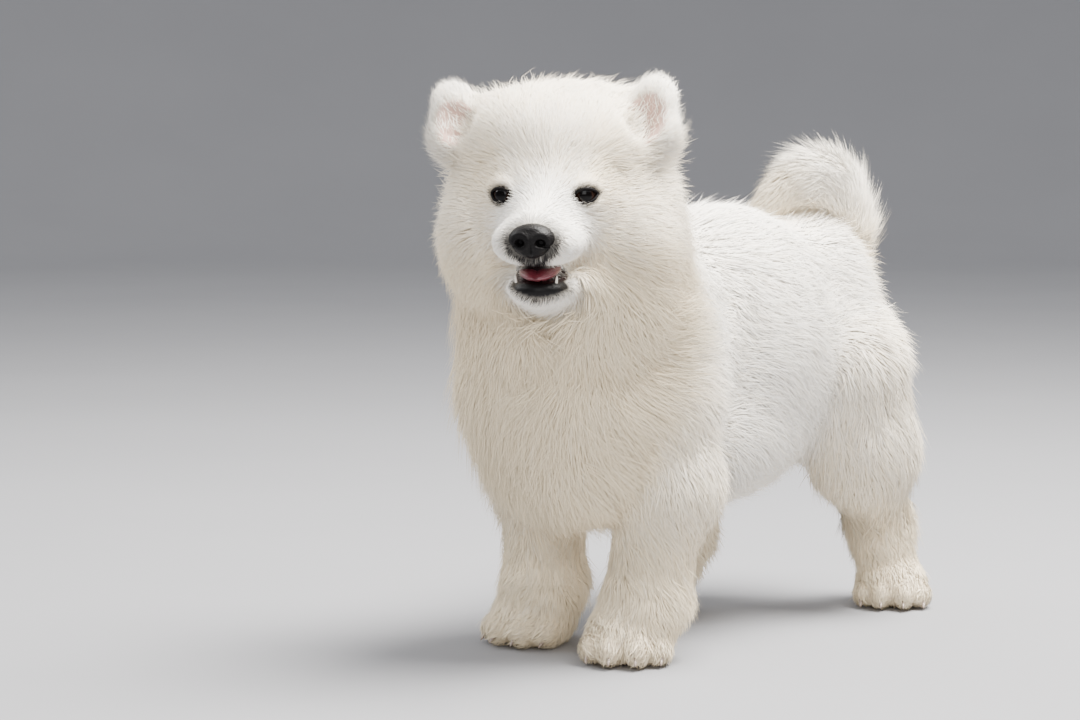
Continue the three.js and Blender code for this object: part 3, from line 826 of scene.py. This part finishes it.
nose_black = nose_paint.mix(nose_paint.noise(300.0), (0.003, 0.0028, 0.0028), (0.007, 0.006, 0.006))
nose_paint.set(Base_Color=nose_black)
pebbles = nose_paint.add(
    "ShaderNodeTexVoronoi", {"feature": "SMOOTH_F1"}, Vector=nose_paint.place(), Scale=1500.0
)
nose_paint.bump(pebbles, 0.00035, 0.55)
nose_paint.on(nose)
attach(nose, "root")
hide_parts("nose")


# Tongue: a soft wet pad of flesh that lies in the lower jaw behind the canines, with a groove along
# its middle. It is a ball pressed flat, and its root goes back out of sight.

TONGUE_HALF_WIDTH = 9.9
tongue_paint = Paint("tongue_red", Roughness=0.3, Coat_Weight=0.5, Coat_Roughness=0.15)
tongue = ball_piece("tongue_pad", 96, 64)
x, y, z = unit(corners_of(tongue.data)).T
shape = np.stack([x * TONGUE_HALF_WIDTH, y * 15.0, z * 3.4], 1)
shape[:, 2] += 0.7 * x * x - 0.9 * np.exp(-((x * TONGUE_HALF_WIDTH / 1.6) ** 2)) * (z > 0)
at = in_head(0.5, 39.6, -37.3) + shape @ (HEAD_FRAME @ turned(x=0.20)).T
set_corners(tongue.data, to_frame(at))
tongue_red = tongue_paint.mix(tongue_paint.noise(260.0), (0.11, 0.014, 0.022), (0.17, 0.027, 0.038))
tongue_paint.set(Base_Color=tongue_red)
buds = tongue_paint.add("ShaderNodeTexVoronoi", {}, Vector=tongue_paint.place(), Scale=2200.0)
tongue_paint.bump(buds, 0.0003, 0.35)
tongue_paint.on(tongue)
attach(tongue, "root")
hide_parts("tongue")


# Teeth and claws: two lower milk canines beside the tongue, and four short horn claws on each paw,
# which show only at their tips under the fur of the toes.

horn_paint = Paint("horn", Roughness=0.35, Coat_Weight=0.3)
horn_paint.set(Base_Color=horn_paint.mix(horn_paint.noise(700.0), (0.20, 0.15, 0.12), (0.42, 0.34, 0.28)))
tooth_paint = Paint("tooth_ivory", Roughness=0.2, Coat_Weight=0.6)
tooth_paint.set(Base_Color=tooth_paint.mix(tooth_paint.noise(500.0), (0.72, 0.67, 0.56), (0.80, 0.76, 0.68)))
CANINE_HEIGHT = 3.6
CANINE_RADIUS = 0.65
CLAW_LENGTH = 6.5
CLAW_DROP = 3.4
CLAW_RADIUS = 1.25
for name, side in (("canine_left", 1), ("canine_right", -1)):
    steps = np.linspace(0, 1, 12)
    curve = np.stack([0.4 * side * steps, -0.5 * steps**2, CANINE_HEIGHT * steps], 1)
    line = in_head(9.8 * side, 47.5, -42.6) + curve @ HEAD_FRAME.T
    tooth = tube(name, line, CANINE_RADIUS * np.sqrt(1 - steps**2 * 0.985), 12, closed=False)
    tooth_paint.on(tooth)
    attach(tooth, "root")
claws = []
steps = np.linspace(0, 1, 9)
curve = np.stack([0 * steps, -CLAW_LENGTH * steps, -CLAW_DROP * steps**2], 1)
for leg in legs:
    for place in ((0.27, 0.82, 0.26), (-0.27, 0.82, 0.26), (0.76, 0.48, 0.22), (-0.76, 0.48, 0.22)):
        line = toe_place(leg, *place) + curve @ turned(z=leg["toes"]).T
        line[:, 2] = np.maximum(line[:, 2], 1.6)
        claws.append(tube("claw", line, CLAW_RADIUS * np.sqrt(1 - steps**2 * 0.97), 8, closed=False))
select_only(*claws)
bpy.ops.object.join()
claws[0].name = "claws"
horn_paint.on(claws[0])
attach(claws[0], "root")


# Coat: long soft white hair in fine tapering tufts. Each is rooted in the skin, rises, bends over and
# lies along the body, tips outwards. It is shortest on the muzzle, ears and paws and longest on the
# ruff, the trunk and the tail.

chance = np.random.default_rng(12)


def flow_of(points, outward, share):
    """The lie of the coat: the way that its hair runs over the skin."""
    x, y, _ = points.T
    side = np.sign(x - MIDLINE) * rise(np.abs(x - MIDLINE), 4, 40)
    chest = rise(-y, 110, 150)
    stern = rise(y, 90, 130)
    trunk = np.stack([0.15 * side, 1 - chest * 0.9 - stern * 0.8, -(0.42 + 0.9 * chest + 0.9 * stern)], 1)
    face = unit(points - in_head(0, 64, -14)) + np.array([0, 0, -0.25])
    back_of_head = unit(points - in_head(0, 30, 20)) + np.array([0, 0.3, -0.5])
    left, ahead, _ = head_sizes(points).T
    behind = rise(-ahead, 0, 40)[:, None]
    skull = face * (1 - behind) + back_of_head * behind
    left_ear, right_ear = [in_head(53 * i, -12, 66) - in_head(42 * i, -4, 28) for i in (1, -1)]
    ears = np.where((left > 0)[:, None], left_ear, right_ear)
    limbs = np.broadcast_to([0, 0.25, -1], points.shape)
    paw_ways = np.array([turned(z=leg["toes"]) @ np.array([0.0, -1.0, -0.5]) for leg in legs])
    toes = paw_ways[np.argmin([length(points - np.array(leg["paw"], float)) for leg in legs], axis=0)]
    spot = np.argmin([length(points - p) for p in TAIL_LINE], axis=0)
    step = unit(np.gradient(TAIL_LINE, axis=0))[spot]
    off_core = points - TAIL_LINE[spot]
    aside = rise(np.abs(off_core[:, 0]), 0, 12) * np.sign(off_core[:, 0])
    tail = step + unit(off_core) * 0.15 + np.stack([0.35 * aside, 0 * x, 0 * x - 0.15], 1)
    ways = {"trunk": trunk, "skull": skull, "muzzle": face, "ears": ears, "forelegs": limbs,
            "hindlegs": limbs, "paws": toes, "tail": tail}
    flow = sum(share[name][:, None] * unit(ways[name]) for name in PARTS)
    return unit(flow - (flow * outward).sum(1)[:, None] * outward)


flow = flow_of(points, outward, share)
for _ in range(6):
    flow = mean_of_neighbours(flow, edges) * 0.6 + flow * 0.4
    flow = unit(flow - (flow * outward).sum(1)[:, None] * outward)
stand = unit(relaxed(outward, edges, 6))

# The skin's triangles, with their corners, their places on the chart and their areas.
skin.data.calc_loop_triangles()
triangles = np.empty(len(skin.data.loop_triangles) * 3, np.int64)
skin.data.loop_triangles.foreach_get("vertices", triangles)
triangles = triangles.reshape(-1, 3)
loops = np.empty(len(triangles) * 3, np.int64)
skin.data.loop_triangles.foreach_get("loops", loops)
chart = np.empty(len(skin.data.loops) * 2)
skin.data.uv_layers["OFBake"].uv.foreach_get("vector", chart)
chart = chart.reshape(-1, 2)[loops.reshape(-1, 3)]
corner = points[triangles]
area = length(np.cross(corner[:, 1] - corner[:, 0], corner[:, 2] - corner[:, 0])) / 2

waves = chance.normal(size=(24, 3)) * np.repeat([0.05, 0.11, 0.22], 8)[:, None]
phases = chance.uniform(0, 2 * math.pi, (3, 24))


def sway(points):
    """A smooth random vector that changes over a few centimetres, which gathers the hair in locks."""
    angle = points @ waves.T
    return np.stack([np.sin(angle + phases[i]).sum(1) / 5.0 for i in range(3)], 1)


# The hair is shorter at the corners of the mouth, round the eyes, in the ears and at the tail's tip.
at_cup = np.min([length(points - in_head(*place)) for place in cup_places.values()], axis=0)
trim = 1 - 0.6 * rise(-nearer_side(points, 18, 42, -38), -24, -12)
trim -= 0.2 * rise(-nearer_side(points, EYE_SPREAD, 28, -1), -15, -9)
trim -= 0.5 * rise(-at_cup, -20, -13)
trim -= 0.45 * rise(-length(points - TAIL_LINE[-1]), -42, -24) * share["tail"]
bare = np.clip(np.maximum.reduce([rise(leather, 0.45, 0.9), in_mouth, soles * 1.5, 0.93 * ear_floor]), 0, 1)

# The hair is white to cream, a little deeper at the root, and black round the lips. A faint light of
# its own stands for the light that white hairs scatter to one another.
coat_paint = Paint("coat_white", Roughness=0.7, Specular_IOR_Level=0.3, Emission_Strength=0.09)
# The cream is partly the coat's own biscuit tint and partly painted shade, under the chin, low down and in
# the crease at the tail's root.
tip_tone = coat_paint.mix(coat_paint.painted("cream_and_shade"), (0.98, 0.95, 0.885), (0.92, 0.78, 0.55))
root_tone = coat_paint.mix(coat_paint.painted("cream_and_shade"), (0.96, 0.90, 0.79), (0.88, 0.72, 0.48))
coat_colour = coat_paint.mix(coat_paint.painted("along"), root_tone, tip_tone)
# Black round the lips, the nose and the lids, and darkened as painted shade in the creases of the smile.
coat_colour = coat_paint.mix(coat_paint.painted("dark"), coat_colour, (0.012, 0.010, 0.010))
coat_paint.set(Base_Color=coat_colour, Emission_Color=coat_colour)


# A tuft is a thin wedge of six points: two at its foot, two edges and a ridge halfway, and the tip.
# Its outer faces look away from the skin and its inner ones at it. Along is how far each point is
# from root to tip in colour, and tilt how far its normal leans to the side. Each tuft has a patch of
# the chart at its root's place, and one tuft in LOCK heads a lock.
TUFT_OUTER = np.array([(0, 1, 4), (0, 4, 2), (1, 3, 4), (2, 4, 5), (4, 3, 5)])
TUFT_INNER = np.array([(0, 2, 3), (0, 3, 1), (2, 5, 3)])
TUFT_ALONG = [0.0, 0.0, 0.6, 0.6, 0.6, 1.0]
TUFT_TILT = np.array([-0.5, 0.5, -0.5, 0.5, 0.0, 0.0])
TUFT_POINTS = len(TUFT_ALONG)
PATCH = 0.003
LOCK = 40
HAIR_FLOOR = 0.05


def grow(name, where, count, width, run, stray, spread, gather=0.3, lift=1.0):
    """Plants a piece of the coat: count tufts over the skin, as thick on it as where says. Width and
    run are a tuft's width and how far it lies along the skin, stray is the share of loose hairs, spread
    how unlike their ways are, gather how far the tips of a lock draw together, lift how high they stand."""
    weight = area * (where * (1 - bare))[triangles].mean(1)
    steps = np.cumsum(weight)
    picks = np.searchsorted(steps, (np.arange(count) + chance.uniform(0, 1, count)) / count * steps[-1])
    picks = picks.clip(0, len(triangles) - 1)
    a, b = chance.uniform(0, 1, (2, count))
    a, b = np.where(a + b > 1, 1 - a, a), np.where(a + b > 1, 1 - b, b)
    mixed = np.stack([1 - a - b, a, b], 1)

    def here(values):
        return (values[triangles[picks]] * mixed.reshape(count, 3, *[1] * (values.ndim - 1))).sum(1)

    root, up_way, lie, high = here(points), unit(here(stand)), here(flow), here(depth)
    root_uv = (chart[picks] * mixed[:, :, None]).sum(1)
    tint_and_shade, dark_and_crease_shade = here(cream_and_shade), here(dark_hair_and_crease_shade)
    lie = lie + sway(root) * 0.35 + chance.normal(0, spread, (count, 3))
    lie = unit(lie - (lie * up_way).sum(1)[:, None] * up_way)
    beside = np.cross(up_way, lie)
    size = chance.uniform(0.72, 1.05, count)
    loose = chance.uniform(0, 1, count) < stray
    size = np.where(loose, chance.uniform(1.1, 1.5, count), size)
    rise_of = np.maximum(high * here(trim) * lift, 1.2) * size
    run_of = here(run) * size * np.where(loose, 0.8, 1.0) * (1 - 0.55 * dark_and_crease_shade) * here(trim)
    half = width * (1 - 0.3 * dark_and_crease_shade) * chance.uniform(0.7, 1.25, count) * np.where(loose, 0.45, 1.0) / 2
    curl = chance.normal(0, 0.12, count) * run_of
    tip = root + up_way * rise_of[:, None] + lie * run_of[:, None]
    heads = KDTree(count // LOCK + 1)
    for number in range(0, count, LOCK):
        heads.insert(root[number], number)
    heads.balance()
    head_of = np.array([heads.find(place)[1] for place in root])
    pull = (tip[head_of] - tip) * (gather * chance.uniform(0.4, 1.0, count) * ~loose)[:, None]

    def at(t):
        """Where the middle line of each tuft is, t of the way from its foot to its tip."""
        climb = np.sin(t * math.pi / 2) ** 0.9 if t > 0 else -0.8 / rise_of
        return (
            root
            + up_way * (rise_of * climb)[:, None]
            + lie * (run_of * t**1.35)[:, None]
            + beside * (curl * t * t)[:, None]
            + pull * t * t
        )

    # Two points at the foot, an edge to each side and a ridge halfway, and the tip.
    middle, edge = at(0.5), beside * half[:, None]
    over = unit(np.cross(at(0.6) - at(0.4), beside))
    ridge = middle + over * (half * 0.7)[:, None]
    stations = [at(0.0) - edge * 0.8, at(0.0) + edge * 0.8, middle - edge, middle + edge, ridge, at(1.0)]
    at_all = np.stack(stations, 1)
    at_all[:, :, 2] = np.maximum(at_all[:, :, 2], HAIR_FLOOR)
    pattern = np.concatenate([TUFT_OUTER, TUFT_INNER])[:, ::-1]
    faces = (pattern[None] + (np.arange(count) * TUFT_POINTS)[:, None, None]).reshape(-1, 3)
    lean = beside[:, None] * 0.5 * TUFT_TILT[None, :, None]
    outer = unit((up_way + over * 0.35)[:, None] + lean)[:, TUFT_OUTER]
    inner = unit((up_way - over * 0.5)[:, None] + lean)[:, TUFT_INNER]
    normals = np.concatenate([outer, inner], 1)[:, :, ::-1]
    patch = np.array([(0.2 + 0.6 * (i % 2), v) for i, v in enumerate(TUFT_ALONG)]) * PATCH - PATCH / 2
    uv = (root_uv[:, None] + patch[None]).reshape(-1, 2).clip(0.0002, 0.9998)

    mesh = bpy.data.meshes.new(name)
    mesh.vertices.add(count * TUFT_POINTS)
    mesh.vertices.foreach_set("co", to_frame(at_all).astype(np.float32).ravel())
    mesh.loops.add(len(faces) * 3)
    mesh.loops.foreach_set("vertex_index", faces.astype(np.int32).ravel())
    mesh.polygons.add(len(faces))
    mesh.polygons.foreach_set("loop_start", (np.arange(len(faces)) * 3).astype(np.int32))
    mesh.update(calc_edges=True)
    layer = mesh.uv_layers.new(name="OFBake")
    layer.uv.foreach_set("vector", uv[faces.ravel()].astype(np.float32).ravel())
    own = mesh.attributes.new("custom_normal", "FLOAT_VECTOR", "CORNER")
    own.data.foreach_set("vector", normals.astype(np.float32).ravel())
    # Each tuft carries its root's cream and painted shade, and its dark hair and painted crease shade, a
    # little varied.
    tint_and_shade = np.clip(tint_and_shade + chance.normal(0, 0.10, count), 0, 1)
    dark_and_crease_shade = np.clip(dark_and_crease_shade + chance.normal(0, 0.2, count) * (dark_and_crease_shade > 0.05) * 0.6, 0, 1)
    paint_points(mesh, "along", np.tile(TUFT_ALONG, count))
    paint_points(mesh, "cream_and_shade", np.repeat(tint_and_shade, TUFT_POINTS))
    paint_points(mesh, "dark", np.repeat(dark_and_crease_shade, TUFT_POINTS))
    piece = link_mesh(name, mesh)
    coat_paint.on(piece)
    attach(piece, "root")


# Where each piece of the coat stands, and how far its tufts run along the skin.
y, z = points[:, 1], points[:, 2]
front = share["trunk"] * rise(-y, 70, 100)
hind_part = share["trunk"] * rise(y, 20, 50)
mid_part = np.clip(share["trunk"] - front - hind_part, 0, 1)
ruff = front * rise(z, 130, 160)
chest_part = np.clip(front - ruff, 0, 1)
forward_face = rise(ahead, 2, 16)
by_side = rise(points[:, 0] - MIDLINE, -8, 8)
muzzle_part = share["muzzle"] + share["skull"] * forward_face
cheek_part = share["skull"] * (1 - forward_face)
body_run = 3.0 + 1.5 * np.minimum(depth, 16.0)
face_run = 2.6 + 1.9 * np.minimum(depth, 8.5)
leg_run = 3.0 + 2.0 * depth
paw_run = 2.0 + 0.7 * depth
tail_run = 3.0 + 1.35 * depth
ear_run = 4.0 + depth

grow("coat_muzzle", muzzle_part, 18000, 0.45, face_run, stray=0.03, spread=0.1, gather=0.1, lift=0.9)
grow("coat_cheeks", cheek_part, 21500, 0.54, face_run, stray=0.14, spread=0.14, gather=0.2, lift=0.8)
grow("coat_ears", share["ears"], 6500, 0.42, ear_run, stray=0.3, spread=0.4, lift=1.15)
grow("coat_ruff", ruff, 16000, 0.72, body_run, stray=0.12, spread=0.2, lift=0.75)
grow("coat_chest", chest_part, 12000, 0.74, body_run, stray=0.12, spread=0.2, lift=0.75)
grow("coat_side_left", mid_part * by_side, 16000, 0.76, body_run, stray=0.08, spread=0.18, lift=0.68)
grow("coat_side_right", mid_part * (1 - by_side), 16000, 0.76, body_run, stray=0.08, spread=0.18, lift=0.68)
grow("coat_rump", hind_part, 18500, 0.76, body_run, stray=0.1, spread=0.18, lift=0.68)
grow("coat_forelegs", share["forelegs"], 18500, 0.8, leg_run, stray=0.12, spread=0.15, lift=0.7)
grow("coat_hindlegs", share["hindlegs"], 21000, 0.84, leg_run, stray=0.12, spread=0.15, lift=0.7)
grow("coat_paws", share["paws"], 11000, 0.45, paw_run, stray=0.02, spread=0.16, gather=0.05, lift=0.8)
grow("coat_tail", share["tail"], 12500, 0.56, tail_run, stray=0.12, spread=0.14, gather=0.2, lift=0.7)


# Studio: a plain pale floor of smooth board, which bends up into a wall all round it. A large soft
# lamp hangs above, a weaker one stands to the left and one in front, and the camera stands level
# with the puppy's head.

FLOOR_FLAT = 4.2
BEND_RADIUS = 2.0
WALL_TOP = 3.2
FLOOR_SIDES = 96
profile = [(radius, 0.0) for radius in (0.6, 1.5, 3.0, FLOOR_FLAT)]
for t in np.linspace(0.1, math.pi / 2, 16):
    profile.append((FLOOR_FLAT + BEND_RADIUS * math.sin(t), BEND_RADIUS * (1 - math.cos(t))))
profile += [(FLOOR_FLAT + BEND_RADIUS, 2.6), (FLOOR_FLAT + BEND_RADIUS, WALL_TOP)]
turn_round = np.linspace(0, 2 * math.pi, FLOOR_SIDES, endpoint=False)
floor_points = [(0, 0, 0)] + [(r * math.cos(t), r * math.sin(t), up) for r, up in profile for t in turn_round]
floor_faces = [(0, 1 + i, 1 + (i + 1) % FLOOR_SIDES) for i in range(FLOOR_SIDES)]
for near in range(1, 1 + (len(profile) - 1) * FLOOR_SIDES, FLOOR_SIDES):
    far = near + FLOOR_SIDES
    for i in range(FLOOR_SIDES):
        j = (i + 1) % FLOOR_SIDES
        floor_faces.append((near + i, far + i, far + j, near + j))
floor_mesh = bpy.data.meshes.new("studio_floor")
floor_mesh.from_pydata(floor_points, [], floor_faces)
floor = link_mesh("studio_floor", floor_mesh)
select_only(floor)
bpy.ops.object.shade_smooth()
floor_paint = Paint("studio_grey", Roughness=0.9)
floor_grey = floor_paint.mix(floor_paint.noise(3.0), (0.24, 0.24, 0.25), (0.265, 0.265, 0.275))
floor_paint.set(Base_Color=floor_grey)
floor_paint.on(floor)
floor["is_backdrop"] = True

world = bpy.data.worlds.new("studio_air")
world.use_nodes = True
world.node_tree.nodes["Background"].inputs[0].default_value = (0.88, 0.89, 0.92, 1)
world.node_tree.nodes["Background"].inputs[1].default_value = 1.4
bpy.context.scene.world = world


def soft_light(name, place, size, power, colour=(1, 1, 1)):
    """A square lamp that looks at the middle of the puppy."""
    light = bpy.data.lights.new(name, "AREA")
    light.size, light.energy, light.color = size, power, colour
    lamp = bpy.data.objects.new(name, light)
    lamp.location = place
    aim = Vector((0, 0, 0.15)) - lamp.location
    lamp.rotation_euler = aim.to_track_quat("-Z", "Y").to_euler()
    bpy.context.scene.collection.objects.link(lamp)


soft_light("light_above", (0.5, 0.3, 1.6), 1.0, 185, (1, 0.975, 0.94))
soft_light("light_left", (-1.2, -0.6, 1.0), 0.7, 12)
soft_light("light_front", (1.2, -1.4, 0.9), 1.0, 14)

# The lens is measured in pixels of the whole picture, which is 1080 of them wide.
CAMERA_PLACE = np.array([864.0, -1103.5, 265.5])
CAMERA_PITCH = 4.84
CAMERA_AZIMUTH = 42.0
SENSOR_WIDTH = 36.0
lens = bpy.data.cameras.new("camera")
lens.sensor_width = SENSOR_WIDTH
lens.lens = 2600.0 / 1080.0 * SENSOR_WIDTH
lens.clip_start, lens.clip_end = 0.05, 50.0
camera = bpy.data.objects.new("camera", lens)
camera.location = to_frame(CAMERA_PLACE)
camera.rotation_euler = (math.radians(90 - CAMERA_PITCH), 0, math.radians(CAMERA_AZIMUTH))
bpy.context.scene.collection.objects.link(camera)
bpy.context.scene.camera = camera

low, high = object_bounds()
